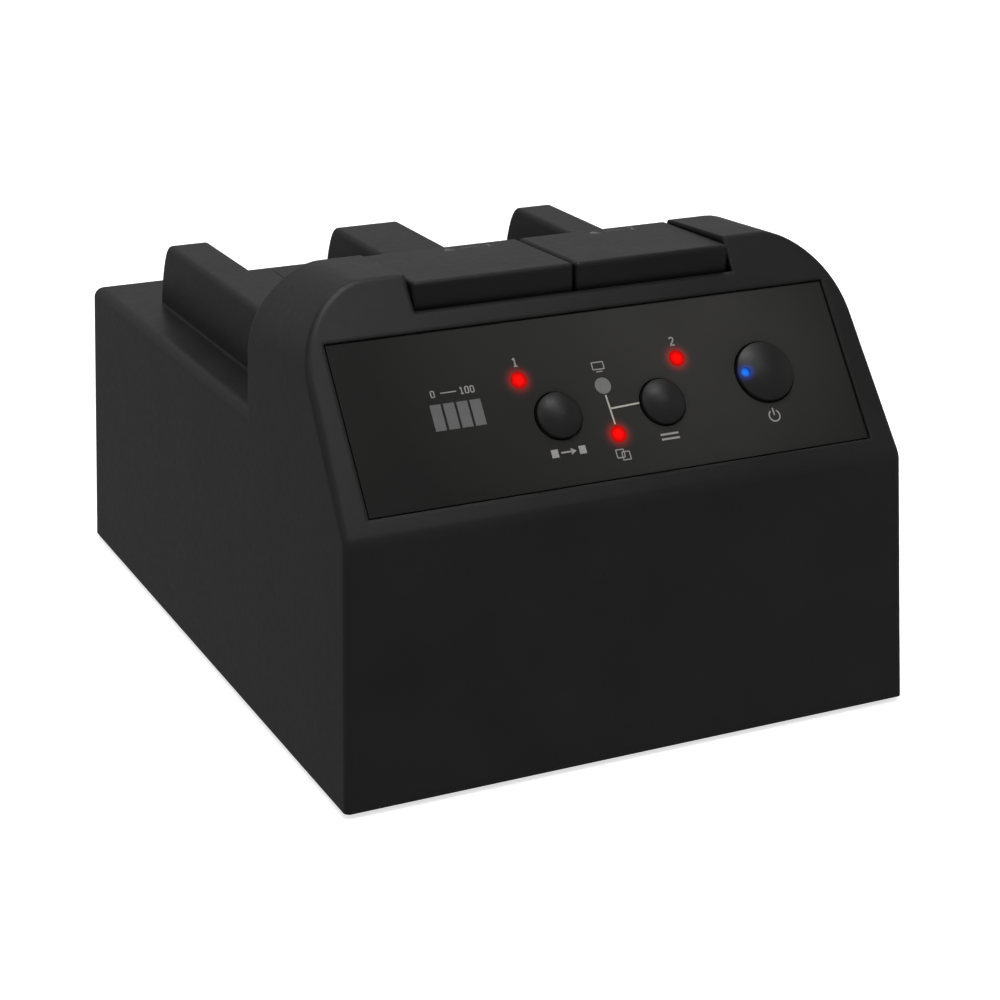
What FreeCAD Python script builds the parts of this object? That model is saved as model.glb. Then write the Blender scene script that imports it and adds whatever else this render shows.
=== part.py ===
import FreeCAD, Part
import math
import os
from FreeCAD import Vector as V

# Two-bay drive duplicator dock.  Millimetres, +Z up, front towards -Y,
# origin at the centre of the footprint on the surface the feet stand on.

os.makedirs("parts", exist_ok=True)

# ---------------------------------------------------------------- dimensions
WIDTH = 153.0            # footprint across
DEPTH = 206.0            # footprint front to back
FOOT = 1.2               # rubber feet hold the case this far off the table
DRAFT = 0.0412           # mould draft of every outer wall, mm per mm of height
WALL = 2.2               # case wall
FACIA = 3.0              # thicker wall of the sloping control face

FRONT_H = 64.9           # height of the upright front face
SLOPE_DEG = 36.5         # control face, leaning back from upright
SLOPE_LEN = 62.45        # control face, bottom edge to top edge
DECK_H = 77.2            # rear deck
HUMP_REAR = 67.9         # back of the hump, from the front
HUMP_FALL = 0.055        # the hump's top falls towards the back
HUMP_B = 20.6            # height of the hump's rounded shoulders
HUMP_XC = 53.6           # where the shoulders meet the flat top
HUMP_SQ, HUMP_SH = 0.36, 0.62     # how square the shoulders are at the top and at the side

PLAT_H = 95.0            # raised platform and guide fins
PLAT_HW = 59.9           # half width of the platform at its top
PLAT_REAR = 133.0        # back of the platform, from the front
FIN_REAR = 176.3         # back of the fins, from the front
FIN_RUN, FIN_DROP = 7.0, 17.5    # elliptical rounding of their rear top corner
FIN_IN = 47.9            # inner face of the outer fins
FIN_MID = 10.1           # half width of the middle fin

PANEL_HW = 66.7          # recessed control panel, half width
PANEL_S0, PANEL_S1 = 5.2, 48.0   # its lower and upper edge along the slope
PANEL_SINK = 0.45        # panel face below the bezel
PANEL_T = 0.8            # panel overlay thickness
PANEL_GAP = 0.45         # groove left around it

NOTCH_HW = 42.8          # key opening in the hump, half width
NOTCH_Y = 34.2           # lower lip of the key opening, from the front
KEY_FRONT = 35.9         # front face of the eject keys, from the front
KEY_TOP = 113.95         # front edge of the keys' top
KEY_FALL = 0.030         # their top falls towards the back
KEY_CEIL = 111.2         # underside of their top
KEY_TRAVEL = 7.0

BAY_X = 29.2             # centre of each drive bay
DRIVE_W, DRIVE_T = 101.6, 26.1   # the widest drive a bay takes
SLOT_IN, SLOT_OUT = 15.1, 43.2   # slot edges, from the centre plane
SLOT_Y0, SLOT_Y1 = -32.4, 71.0   # slot ends
HINGE_X = 47.6           # bay door hinge line, from the centre plane
HINGE_DROP = 4.5         # hinge line below the door's face
DOOR_T = 2.0
ROD_D = 2.4
FIT = 0.1                # diametral running clearance

BTN_SMALL = 11.4         # cap diameters
BTN_POWER = 15.2
BTN_RISE, PWR_RISE = 2.1, 2.0      # height of the domed crowns
BTN_TRAVEL = 0.9

Y0 = -DEPTH / 2.0
TH = math.radians(SLOPE_DEG)
SIN, COS = math.sin(TH), math.cos(TH)


# ------------------------------------------------------------------- helpers
def box(x0, x1, y0, y1, z0, z1):
    return Part.makeBox(x1 - x0, y1 - y0, z1 - z0, V(x0, y0, z0))


def cyl(r, h, p, d=V(0, 0, 1)):
    return Part.makeCylinder(r, h, p, d)


def poly_yz(pts, x0, x1):
    w = Part.makePolygon([V(x0, y, z) for y, z in pts] + [V(x0, pts[0][0], pts[0][1])])
    return Part.Face(w).extrude(V(x1 - x0, 0, 0))


def poly_xz(pts, y0, y1):
    w = Part.makePolygon([V(x, y0, z) for x, z in pts] + [V(pts[0][0], y0, pts[0][1])])
    return Part.Face(w).extrude(V(0, y1 - y0, 0))


def fuse(*items):
    s = items[0]
    for i in items[1:]:
        s = s.fuse(i)
    return s.removeSplitter()


def mx(shape):
    # mirror image across the centre plane
    return shape.mirror(V(0, 0, 0), V(1, 0, 0))


def frustum(x0, x1, y0, y1, z0, z1, dx0, dx1, dy0, dy1):
    # box whose four walls lean in by dx0, dx1, dy0, dy1 at its top
    a = Part.makePolygon([V(x0, y0, z0), V(x1, y0, z0), V(x1, y1, z0), V(x0, y1, z0), V(x0, y0, z0)])
    b = Part.makePolygon([V(x0 + dx0, y0 + dy0, z1), V(x1 - dx1, y0 + dy0, z1),
                          V(x1 - dx1, y1 - dy1, z1), V(x0 + dx0, y1 - dy1, z1), V(x0 + dx0, y0 + dy0, z1)])
    return Part.makeLoft([a, b], True, True)


def pick(shape, test):
    out = []
    for e in shape.Edges:
        try:
            a, b = e.ParameterRange
            pts = [e.valueAt(a + (b - a) * t) for t in (0.02, 0.25, 0.5, 0.75, 0.98)]
        except Exception:
            continue
        if all(test(p) for p in pts):
            out.append(e)
    return out


def slope(shape):
    # local x across, y up along the control face, z out of it
    s = shape.copy()
    s.rotate(V(0, 0, 0), V(1, 0, 0), 90.0 - SLOPE_DEG)
    s.translate(V(0, Y0 + DRAFT * FRONT_H, FOOT + FRONT_H))
    return s


def save(shape, name):
    solids = shape.Solids
    if not solids:
        raise RuntimeError("no solid in " + name)
    s = solids[0] if len(solids) == 1 else Part.makeCompound(solids)
    if not s.isValid():
        print("INVALID", name)
    s.exportStep("parts/" + name + ".step")
    b = s.BoundBox
    print("%-22s %2d solid(s) vol %9.1f  x %.1f %.1f  y %.1f %.1f  z %.1f %.1f" % (
        name, len(solids), s.Volume, b.XMin, b.XMax, b.YMin, b.YMax, b.ZMin, b.ZMax))
    return s


def helix(r, wire, pitch, height, base, axis=V(0, 0, 1), square=False):
    h = Part.makeHelix(pitch, height, r)
    if square:
        w = wire / 2.0
        prof = Part.makePolygon([V(r - w, 0, -w), V(r + w, 0, -w), V(r + w, 0, w), V(r - w, 0, w), V(r - w, 0, -w)])
    else:
        prof = Part.Wire([Part.makeCircle(wire / 2.0, V(r, 0, 0), V(0, 1, pitch / (2 * math.pi * r)))])
    s = Part.Wire(h).makePipeShell([prof], True, True)
    z = V(0, 0, 1)
    if axis.getAngle(z) > 1e-6:
        s.rotate(V(0, 0, 0), z.cross(axis), math.degrees(z.getAngle(axis)))
    s.translate(base)
    return s


# ------------------------------------------------------- outer case geometry
def hw(z, t=0.0):
    return WIDTH / 2.0 - DRAFT * (z - FOOT) - t


def hump_section(y, t):
    top_front = FOOT + FRONT_H + SLOPE_LEN * COS
    y_top = Y0 + DRAFT * FRONT_H + SLOPE_LEN * SIN
    zt = top_front - HUMP_FALL * (y - y_top) - t
    zs = zt + t - HUMP_B
    zb = FOOT - 5.0
    xt = HUMP_XC
    b = zt - zs
    p0 = V(hw(zs, t), y, zs)
    p3 = V(xt, y, zt)
    d = V(-DRAFT, 0, 1)
    p1 = p0 + d * (HUMP_SH * b)
    p2 = p3 + V(HUMP_SQ * (p0.x - xt), 0, 0)

    def bez(a, b_, c, e):
        z = Part.BezierCurve()
        z.setPoles([a, b_, c, e])
        return z.toShape()

    m = lambda p: V(-p.x, p.y, p.z)
    e = [Part.makeLine(V(-hw(zb, t), y, zb), V(hw(zb, t), y, zb)),
         Part.makeLine(V(hw(zb, t), y, zb), p0),
         bez(p0, p1, p2, p3),
         Part.makeLine(p3, m(p3)),
         bez(m(p3), m(p2), m(p1), m(p0)),
         Part.makeLine(m(p0), V(-hw(zb, t), y, zb))]
    return Part.Wire(e)


def rounded_profile(pts, x0, x1):
    # YZ outline with a radius on some corners: (y, z, r)
    edges = []
    n = len(pts)
    cut = []
    for i in range(n):
        p = V(0, pts[i][0], pts[i][1])
        r = pts[i][2]
        if r <= 0:
            cut.append((p, p, None))
            continue
        a = V(0, pts[i - 1][0], pts[i - 1][1])
        b = V(0, pts[(i + 1) % n][0], pts[(i + 1) % n][1])
        u = (a - p).normalize()
        w = (b - p).normalize()
        ang = u.getAngle(w)
        tl = r / math.tan(ang / 2.0)
        bis = (u + w).normalize()
        c = p + bis * (r / math.sin(ang / 2.0))
        mid = c - bis * r
        cut.append((p + u * tl, p + w * tl, mid))
    for i in range(n):
        s, e, mid = cut[i]
        if mid is not None:
            edges.append(Part.Arc(s, mid, e).toShape())
        nxt = cut[(i + 1) % n][0]
        if (nxt - e).Length > 1e-6:
            edges.append(Part.makeLine(e, nxt))
    f = Part.Face(Part.Wire(edges))
    f.translate(V(x0, 0, 0))
    return f.extrude(V(x1 - x0, 0, 0))


def case_body(t, tf, fillets):
    # t wall inset, tf inset of the control face; t = tf = 0 gives the outside
    zb = FOOT
    loft = Part.makeLoft([hump_section(Y0 - 2, t), hump_section(Y0 + DEPTH + 2, t)], True, True)
    yf0 = Y0 + t
    zf = FOOT + FRONT_H
    yf1 = Y0 + DRAFT * FRONT_H + t
    # inset slope plane
    oy = Y0 + DRAFT * FRONT_H + tf * COS
    oz = zf - tf * SIN
    zc = oz + (yf1 - oy) / SIN * COS
    top = 140.0
    pts = [(yf0 - DRAFT * 5.0, zb - 5.0, 0.0), (Y0 + t + DRAFT * (zc - FOOT), zc, 5.0 if t == 0 else 3.0),
           (oy + (top - oz) / COS * SIN, top, 0.0), (Y0 + HUMP_REAR - t, top, 0.0), (Y0 + HUMP_REAR - t, zb - 5.0, 0.0)]
    a = loft.common(rounded_profile(pts, -100, 100))
    zd = FOOT + DECK_H - t
    yr = Y0 + DEPTH - t
    b1 = poly_yz([(Y0 + 60.0, zb - 5.0), (yr + DRAFT * 5.0, zb - 5.0), (yr - DRAFT * (zd - FOOT), zd), (Y0 + 60.0, zd)], -100, 100)
    b2 = poly_xz([(-hw(zb - 5.0, t), zb - 5.0), (hw(zb - 5.0, t), zb - 5.0), (hw(zd, t), zd), (-hw(zd, t), zd)], Y0 + 50, Y0 + 220)
    b = b1.common(b2)
    below = box(-100, 100, -150, 150, -20, zb)
    if fillets:
        e = pick(b, lambda p: p.y > Y0 + 190 and abs(p.x) > 60 and p.z < zd - 0.01 or (p.y > Y0 + 190 and abs(abs(p.x) - hw(p.z, t)) < 0.02))
        e = [q for q in e if abs(q.Vertexes[0].Point.z - q.Vertexes[-1].Point.z) > 20]
        b = b.makeFillet(2.0, e)
        e = pick(b, lambda p: abs(p.z - zd) < 1e-3 and p.y > Y0 + 60.1)
        b = b.makeFillet(3.0, e)
        # outline of the front: corners, bezel edge and arch
        ysl = lambda p: Y0 + DRAFT * FRONT_H + (p.z - zf) * SIN / COS
        def front(p):
            on_low = p.z <= zf + 6 and p.y < Y0 + 8 and abs(p.x) > hw(p.z) - 0.05
            on_slope = p.z >= zf - 1 and abs(p.y - ysl(p)) < 0.05
            return on_low or on_slope
        e = [q for q in pick(a, front)
             if not (q.Vertexes[0].Point - q.Vertexes[-1].Point).Length > 140 or q.CenterOfMass.z > 100]
        a = a.makeFillet(1.5, e)
        e = pick(a, lambda p: abs(p.y - (Y0 + HUMP_REAR)) < 1e-3 and p.z > -10 and (abs(p.x) > hw(p.z) - 0.05 or p.z > 90))
        a = a.makeFillet(1.0, e)
    plat = platform(t, fillets)
    s = a.fuse(b).fuse(plat)
    s = s.cut(below)
    return s.removeSplitter()


def platform(t, fillets):
    zd = FOOT + DECK_H - 4.0 - t
    zp = FOOT + PLAT_H - t
    lean = 0.06 * (zp - zd)
    yb = Y0 + PLAT_REAR - t
    yfb = Y0 + FIN_REAR - t
    rise = 0.03 * (zp - zd)
    # side view of a fin: upright rear end, elliptical corner, flat top
    ye, ze = Y0 + FIN_REAR - FIN_RUN, FOOT + PLAT_H - FIN_DROP
    k = 0.5
    c = Part.BezierCurve()
    c.setPoles([V(0, yfb, ze), V(0, yfb, ze + k * (zp - ze)), V(0, ye + k * (yfb - ye), zp), V(0, ye, zp)])
    q = [V(0, ye, zp), V(0, Y0 + 105.0, zp), V(0, Y0 + 105.0, zd - 1.0), V(0, yfb, zd - 1.0), V(0, yfb, ze)]
    side_view = Part.Face(Part.Wire([c.toShape()] + [Part.makeLine(a, b) for a, b in zip(q, q[1:])]))
    top = frustum(-PLAT_HW + t - lean, PLAT_HW - t + lean, Y0 + HUMP_REAR - 1.0 - t, yb + rise, zd, zp, lean, lean, 0.0, rise)
    fins = []
    for x0, x1 in ((-PLAT_HW + t, -FIN_IN - t), (-FIN_MID + t, FIN_MID - t), (FIN_IN + t, PLAT_HW - t)):
        f = frustum(x0 - lean, x1 + lean, Y0 + 110.0, yfb + 6.0, zd, zp, lean, lean, 0.0, 0.0)
        prof = side_view.copy()
        prof.translate(V(-90, 0, 0))
        f = f.common(prof.extrude(V(180, 0, 0)))
        if fillets:
            def side(p):
                xa = x0 - 0.06 * (zp - p.z)
                xb = x1 + 0.06 * (zp - p.z)
                return p.y > Y0 + 110.01 and (abs(p.x - xa) < 0.02 or abs(p.x - xb) < 0.02) and p.z > zd + 0.01
            f = f.makeFillet(1.4, pick(f, side))
        fins.append(f)
    if fillets:
        e = [q for q in pick(top, lambda p: abs(p.z - zp) < 1e-3 and p.y > Y0 + HUMP_REAR - 1.5 - t)
             if abs(abs(q.CenterOfMass.x) - (PLAT_HW - t)) < 0.01]
        top = top.makeFillet(1.4, e)
    s = top
    for f in fins:
        s = s.fuse(f)
    return s


outer = case_body(0.0, 0.0, True)
inner = case_body(WALL, FACIA, False)
print("outer", outer.isValid(), len(outer.Solids), round(outer.Volume), "inner", inner.isValid(), round(inner.Volume))

DECK_Z = FOOT + DECK_H
PLAT_Z = FOOT + PLAT_H
REAR_Y = Y0 + PLAT_REAR          # back face of the platform

shell = outer.cut(inner)

# recess that takes the panel overlay
shell = shell.cut(slope(box(-PANEL_HW, PANEL_HW, PANEL_S0, PANEL_S1, -(PANEL_SINK + PANEL_T), 5)))

# opening for the two eject keys, through the face, top and back of the hump
shell = shell.cut(box(-NOTCH_HW, NOTCH_HW, Y0 + NOTCH_Y, Y0 + HUMP_REAR + 0.1, 90, 130))

# drive slots: full length at deck level, and up through the platform
for sgn in (-1, 1):
    xs = sorted((sgn * SLOT_IN, sgn * SLOT_OUT))
    shell = shell.cut(box(xs[0], xs[1], SLOT_Y0, SLOT_Y1, DECK_Z - 6, 140))

# control positions on the face: x across, s up along the slope
DUP = (-13.9, 22.9)
MODE = (13.8, 22.5)
POWER = (43.2, 26.2)
LAMPS = {"source_lamp": (-21.4, 33.0), "target_lamp": (20.9, 32.9), "copy_lamp": (0.0, 16.3), "pc_lamp": (-0.4, 28.7)}
LAMP_D = 4.2
BARS = [(-43.7, 26.7), (-40.33, 26.7), (-36.97, 26.7), (-33.6, 26.7)]
BAR_W, BAR_H = 2.8, 6.5

face_holes = []
for (x, s), d in ((DUP, BTN_SMALL), (MODE, BTN_SMALL), (POWER, BTN_POWER)):
    face_holes.append(cyl(d / 2.0 + 0.45, 14, V(x, s, -7)))
for x, s in LAMPS.values():
    face_holes.append(cyl(LAMP_D / 2.0, 14, V(x, s, -7)))
for x, s in BARS:
    face_holes.append(box(x - BAR_W / 2, x + BAR_W / 2, s - BAR_H / 2, s + BAR_H / 2, -7, 7))
face_cut = slope(Part.makeCompound(face_holes))
shell = shell.cut(face_cut)

# screw posts in the four corners, hinge lugs of the bay doors
posts = []
for sx in (-1, 1):
    for y, zt in ((-88.0, 71.0), (92.0, 77.0)):
        posts.append(cyl(3.6, zt - 3.6, V(sx * 64.5, y, 3.6)))
        xs = sorted((sx * 64.5, sx * 75.0))
        posts.append(box(xs[0], xs[1], y - 0.8, y + 0.8, 12.0, zt))
LUGS = []
for sx in (-1, 1):
    for zt, ys in ((PLAT_Z, (SLOT_Y0 - 1.9, 23.2)), (DECK_Z, (30.2, SLOT_Y1 - 2.3))):
        za = zt - HINGE_DROP
        for y in ys:
            xs = sorted((sx * (HINGE_X - 2.1), sx * (HINGE_X + 2.1)))
            LUGS.append(box(xs[0], xs[1], y, y + 1.8, za - 2.1, zt - WALL + 0.3))
add = Part.makeCompound(posts + LUGS)
for p in posts + LUGS:
    shell = shell.fuse(p.common(outer))
shell = shell.removeSplitter()
cuts = []
for sx in (-1, 1):
    for y in (-88.0, 92.0):
        cuts.append(cyl(1.25, 14.0, V(sx * 64.5, y, 3.0)))
    for zt, ys, ye in ((PLAT_Z, SLOT_Y0 - 1.7, 25.2), (DECK_Z, 30.2, SLOT_Y1 - 0.5)):
        cuts.append(cyl(ROD_D / 2.0, ye - ys, V(sx * HINGE_X, ys, zt - HINGE_DROP), V(0, 1, 0)))
# ports and vents in the back wall
PORT_Z = 18.0
DC_X, USB_X = -45.0, -18.0
cuts.append(cyl(5.1, 12, V(DC_X, 94, PORT_Z), V(0, 1, 0)))
cuts.append(box(USB_X - 6.4, USB_X + 6.4, 94, 110, 11.6, 23.2))
for i in range(9):
    x = 14.0 + i * 5.0
    cuts.append(box(x - 1.0, x + 1.0, 92, 110, 14.0, 34.0))
for c in cuts:
    shell = shell.cut(c)
top_shell = save(shell, "top_shell")

# --------------------------------------------------------------- base plate
g = 0.15
plate = frustum(-hw(FOOT, WALL + g), hw(FOOT, WALL + g), Y0 + WALL + g, -Y0 - WALL - g, FOOT, FOOT + 2.2,
                DRAFT * 2.2, DRAFT * 2.2, DRAFT * 2.2, DRAFT * 2.2)
PZ = FOOT + 2.2
PCB_Z = 9.4
boss_xy = [(sx * 56.0, y) for sx in (-1, 1) for y in (-22.0, 90.0)] + [(0.0, 4.0), (0.0, 90.0)]
for x, y in boss_xy:
    plate = plate.fuse(cyl(3.0, PCB_Z - PZ, V(x, y, PZ)))
plate = plate.removeSplitter()
cuts = []
FEET_XY = [(sx * 56.0, y) for sx in (-1, 1) for y in (-82.0, 80.0)]
for x, y in FEET_XY:
    cuts.append(cyl(6.1, 1.0, V(x, y, FOOT)))
for sx in (-1, 1):
    for y in (-88.0, 92.0):
        cuts.append(cyl(1.6, 5, V(sx * 64.5, y, 0)))
        cuts.append(cyl(3.0, 1.2, V(sx * 64.5, y, FOOT)))
for x, y in boss_xy:
    cuts.append(cyl(1.1, 6.0, V(x, y, PCB_Z - 5.5)))
for i in range(11):
    for y in (-60.0, 20.0):
        x = -30.0 + i * 6.0
        cuts.append(box(x - 1.1, x + 1.1, y, y + 26.0, 0, 5))
for c in cuts:
    plate = plate.cut(c)
base_plate = save(plate, "base_plate")

feet = []
for x, y in FEET_XY:
    f = cyl(6.0, 2.2, V(x, y, 0))
    f = f.makeFillet(0.5, [e for e in f.Edges if e.CenterOfMass.z < 0.01 and len(e.Vertexes) < 2 or abs(e.CenterOfMass.z) < 0.001])
    feet.append(f)
save(Part.makeCompound(feet), "rubber_feet")

scr = []
for sx in (-1, 1):
    for y in (-88.0, 92.0):
        h = cyl(2.7, 1.0, V(sx * 64.5, y, FOOT + 0.2))
        h = h.cut(box(sx * 64.5 - 1.6, sx * 64.5 + 1.6, y - 0.3, y + 0.3, FOOT, FOOT + 0.75))
        h = h.cut(box(sx * 64.5 - 0.3, sx * 64.5 + 0.3, y - 1.6, y + 1.6, FOOT, FOOT + 0.75))
        scr.append(fuse(h, cyl(1.25, 12.0, V(sx * 64.5, y, FOOT + 1.2))))
save(Part.makeCompound(scr), "base_screws")

# ------------------------------------------------------------ control panel
ov = slope(box(-PANEL_HW + PANEL_GAP, PANEL_HW - PANEL_GAP, PANEL_S0 + PANEL_GAP, PANEL_S1 - PANEL_GAP, -(PANEL_SINK + PANEL_T), -PANEL_SINK))
ov = ov.cut(face_cut)
save(ov, "panel_overlay")

N_IN = -FACIA            # inner surface of the control face
SW_Z = -9.5              # board surface, out of the face


def button(cx, cs, d, rise, dish=0.0):
    # domed cap, retaining flange behind the face, stem to the switch
    r = d / 2.0
    rim = -PANEL_SINK + 0.9
    crown = rim + rise
    R = (r * r + rise * rise) / (2 * rise)
    body = cyl(r, rim + 4.2, V(0, 0, -4.2))
    dome = Part.makeSphere(R, V(0, 0, crown - R)).common(cyl(r, rise + 1.0, V(0, 0, rim - 0.001)))
    b = body.fuse(dome).removeSplitter()
    edge = [e for e in b.Edges if abs(e.BoundBox.ZMax - rim) < 0.01 and abs(e.BoundBox.ZMin - rim) < 0.01]
    b = b.makeFillet(0.35, edge)
    fl = cyl(r + 1.3, 1.0, V(0, 0, N_IN - 1.1))
    hollow = cyl(r - 1.2, 3.0, V(0, 0, -4.3))
    stem = cyl(2.0, 5.2 - 1.3, V(0, 0, -5.2))
    b = b.cut(hollow.cut(cyl(2.6, 10, V(0, 0, -6))))
    b = fuse(b, fl.cut(cyl(r - 1.2, 5, V(0, 0, -6))), stem, cyl(2.6, 3.2, V(0, 0, -4.2)))
    b.translate(V(cx, cs, 0))
    return b


dup = button(DUP[0], DUP[1], BTN_SMALL, BTN_RISE)
save(slope(dup), "duplicate_button")
mode = button(MODE[0], MODE[1], BTN_SMALL, BTN_RISE)
save(slope(mode), "mode_button")
pwr = button(POWER[0], POWER[1], BTN_POWER, PWR_RISE)
PIPE = (POWER[0] - 5.85, POWER[1] + 0.2)
pipe_d = 2.2
pwr = pwr.cut(cyl(pipe_d / 2.0, 12, V(PIPE[0], PIPE[1], -6)))
save(slope(pwr), "power_button")
pipe = cyl(pipe_d / 2.0, 6.0, V(PIPE[0], PIPE[1], -5.2))
PWR_R = ((BTN_POWER / 2) ** 2 + PWR_RISE ** 2) / (2 * PWR_RISE)
pipe = pipe.common(Part.makeSphere(PWR_R, V(POWER[0], POWER[1], -PANEL_SINK + 0.9 + PWR_RISE - PWR_R)))
save(slope(pipe), "power_light_pipe")

# switches on the front board, each with its own plunger
sw, led = [], []
for name, (x, s) in (("duplicate", DUP), ("mode", MODE), ("power", POWER)):
    b = box(x - 3, x + 3, s - 3, s + 3, SW_Z, -6.2).cut(cyl(1.8, 1.7, V(x, s, -7.8)))
    for dx in (-1, 1):
        b = b.fuse(box(x + dx * 3.6 - 0.6, x + dx * 3.6 + 0.6, s - 2.6, s - 1.8, SW_Z, SW_Z + 0.5)).removeSplitter()
    sw.append(b)
    save(slope(cyl(1.7, 1.7, V(x, s, -6.9))), name + "_plunger")
save(slope(Part.makeCompound(sw)), "tact_switches")

for name, (x, s) in LAMPS.items():
    lens = cyl(LAMP_D / 2.0 - 0.02, 7.0, V(x, s, -7.4))
    cap = Part.makeSphere(9.0, V(x, s, -PANEL_SINK + 0.25 - 9.0))
    lens = lens.common(cap.fuse(cyl(9, 6, V(x, s, -8 - 0.0))))
    collar = cyl(LAMP_D / 2.0 + 0.9, 0.9, V(x, s, N_IN - 0.95))
    save(slope(fuse(lens, collar)), name)
    led.append(box(x - 1.6, x + 1.6, s - 1.4, s + 1.4, SW_Z, -7.5))
bars = []
x0, x1 = BARS[0][0] - BAR_W / 2 - 1.0, BARS[3][0] + BAR_W / 2 + 1.0
base = box(x0, x1, 26.2 - 4.4, 26.2 + 4.4, -4.9, -3.05)
for x, s in BARS:
    base = base.fuse(box(x - BAR_W / 2 + 0.03, x + BAR_W / 2 - 0.03, s - BAR_H / 2 + 0.03, s + BAR_H / 2 - 0.03, -4.9, -PANEL_SINK + 0.05))
    led.append(box(x - 1.2, x + 1.2, s - 1.4, s + 1.4, SW_Z, -8.3))
save(slope(base.removeSplitter()), "progress_light_bars")
led.append(box(PIPE[0] - 1.2, PIPE[0] + 1.2, PIPE[1] - 1.2, PIPE[1] + 1.2, SW_Z, -8.3))
save(slope(Part.makeCompound(led)), "panel_leds")

fb = box(-56.0, 56.0, 6.0, 38.0, SW_Z - 1.6, SW_Z)
fscr = []
fbp = []
for x in (-52.0, 52.0):
    for s in (9.5, 34.5):
        fb = fb.cut(cyl(1.3, 4, V(x, s, SW_Z - 2)))
        fbp.append(cyl(2.5, 6.3, V(x, s, SW_Z)).cut(cyl(1.0, 5.0, V(x, s, SW_Z))))
        fscr.append(fuse(cyl(2.3, 1.3, V(x, s, SW_Z - 2.9)), cyl(1.0, 6.0, V(x, s, SW_Z - 1.6))))
save(slope(fb), "front_board")
save(slope(Part.makeCompound(fbp)), "front_board_spacers")
save(slope(Part.makeCompound(fscr)), "front_board_screws")

# ------------------------------------------------------------- drive bays
GW = 1.6                 # guide wall
FLOOR_Z = 20.0
GUIDE_OUT, GUIDE_IN = 45.8, 15.0
G_TOP = 68.4
LEV_X = BAY_X
PIV_Y, PIV_Z = -42.0, 23.0
ARM_F, ARM_R = 16.0, 14.0
NOSE_R = 2.2
LEV_A = math.degrees(math.asin(KEY_TRAVEL / 2.0 / ARM_F))   # half the lever's swing


def bay(sx):
    o = box(-GUIDE_OUT - GW, -GUIDE_IN + GW, SLOT_Y0 - GW, SLOT_Y1 + GW, FLOOR_Z, G_TOP)
    o = o.cut(box(-GUIDE_OUT, -GUIDE_IN, SLOT_Y0, SLOT_Y1, FLOOR_Z + 2.0, G_TOP + 1))
    # front wall rises into the hump and carries a ledge for the key bracket
    o = o.fuse(box(-GUIDE_OUT - GW, -GUIDE_IN + GW, SLOT_Y0 - GW, SLOT_Y0, FLOOR_Z, 84.0))
    o = o.fuse(box(-GUIDE_OUT - GW, -GUIDE_IN + GW, -45.0, SLOT_Y0, 81.0, 84.0))
    for x in (-GUIDE_OUT - GW, -GUIDE_IN + GW - 1.6):
        o = o.fuse(poly_yz([(SLOT_Y0 - GW, 70.0), (SLOT_Y0 - GW, 81.0), (-44.0, 81.0)], x, x + 1.6))
    # ears of the eject lever
    for x in (-LEV_X - 5.0, -LEV_X + 3.0):
        o = o.fuse(box(x, x + 2.0, -46.0, SLOT_Y0 - GW + 0.1, 18.0, 28.0))
    # legs down to the base plate
    for x, y in ((-GUIDE_OUT - GW, -41.0), (-GUIDE_IN + GW - 5.0, -41.0), (-GUIDE_OUT - GW, SLOT_Y1 + GW - 5.2), (-GUIDE_IN + GW - 5.0, SLOT_Y1 + GW - 5.2)):
        o = o.fuse(box(x, x + 5.0, y, y + 5.2, PZ, FLOOR_Z + 2.0))
    o = o.removeSplitter()
    # opening for the connector, slot for the lever, slot for the door skirt
    o = o.cut(box(-24.8, -16.0, -24.0, 20.0, FLOOR_Z - 1, FLOOR_Z + 3))
    o = o.cut(box(-LEV_X - 2.7, -LEV_X + 2.7, SLOT_Y0 - GW - 1, -23.5, 15.0, 31.0).cut(box(-60, 0, SLOT_Y0, -20, FLOOR_Z + 2.0, 40)))
    o = o.cut(box(-GUIDE_OUT - GW - 1, -GUIDE_OUT + 0.01, 25.0, 28.4, 57.0, 100))
    o = o.cut(cyl(1.5, 14.0, V(-LEV_X - 7.0, PIV_Y, PIV_Z), V(1, 0, 0)))
    for x in (-41.0, -21.0):
        o = o.cut(cyl(1.0, 8.0, V(x, -40.5, 79.0)))
    for x, y in ((-GUIDE_OUT - GW + 2.5, -38.4), (-GUIDE_IN + GW - 2.5, -38.4), (-GUIDE_OUT - GW + 2.5, SLOT_Y1 - 1.0), (-GUIDE_IN + GW - 2.5, SLOT_Y1 - 1.0)):
        o = o.cut(cyl(1.0, 9.0, V(x, y, PZ - 0.1)))
    return o if sx < 0 else mx(o)


save(bay(-1), "left_bay_guide")
save(bay(1), "right_bay_guide")

LEG_XY = [(-GUIDE_OUT - GW + 2.5, -38.4), (-GUIDE_IN + GW - 2.5, -38.4), (-GUIDE_OUT - GW + 2.5, SLOT_Y1 - 1.0), (-GUIDE_IN + GW - 2.5, SLOT_Y1 - 1.0)]
LEG_XY = LEG_XY + [(-x, y) for x, y in LEG_XY]


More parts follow.
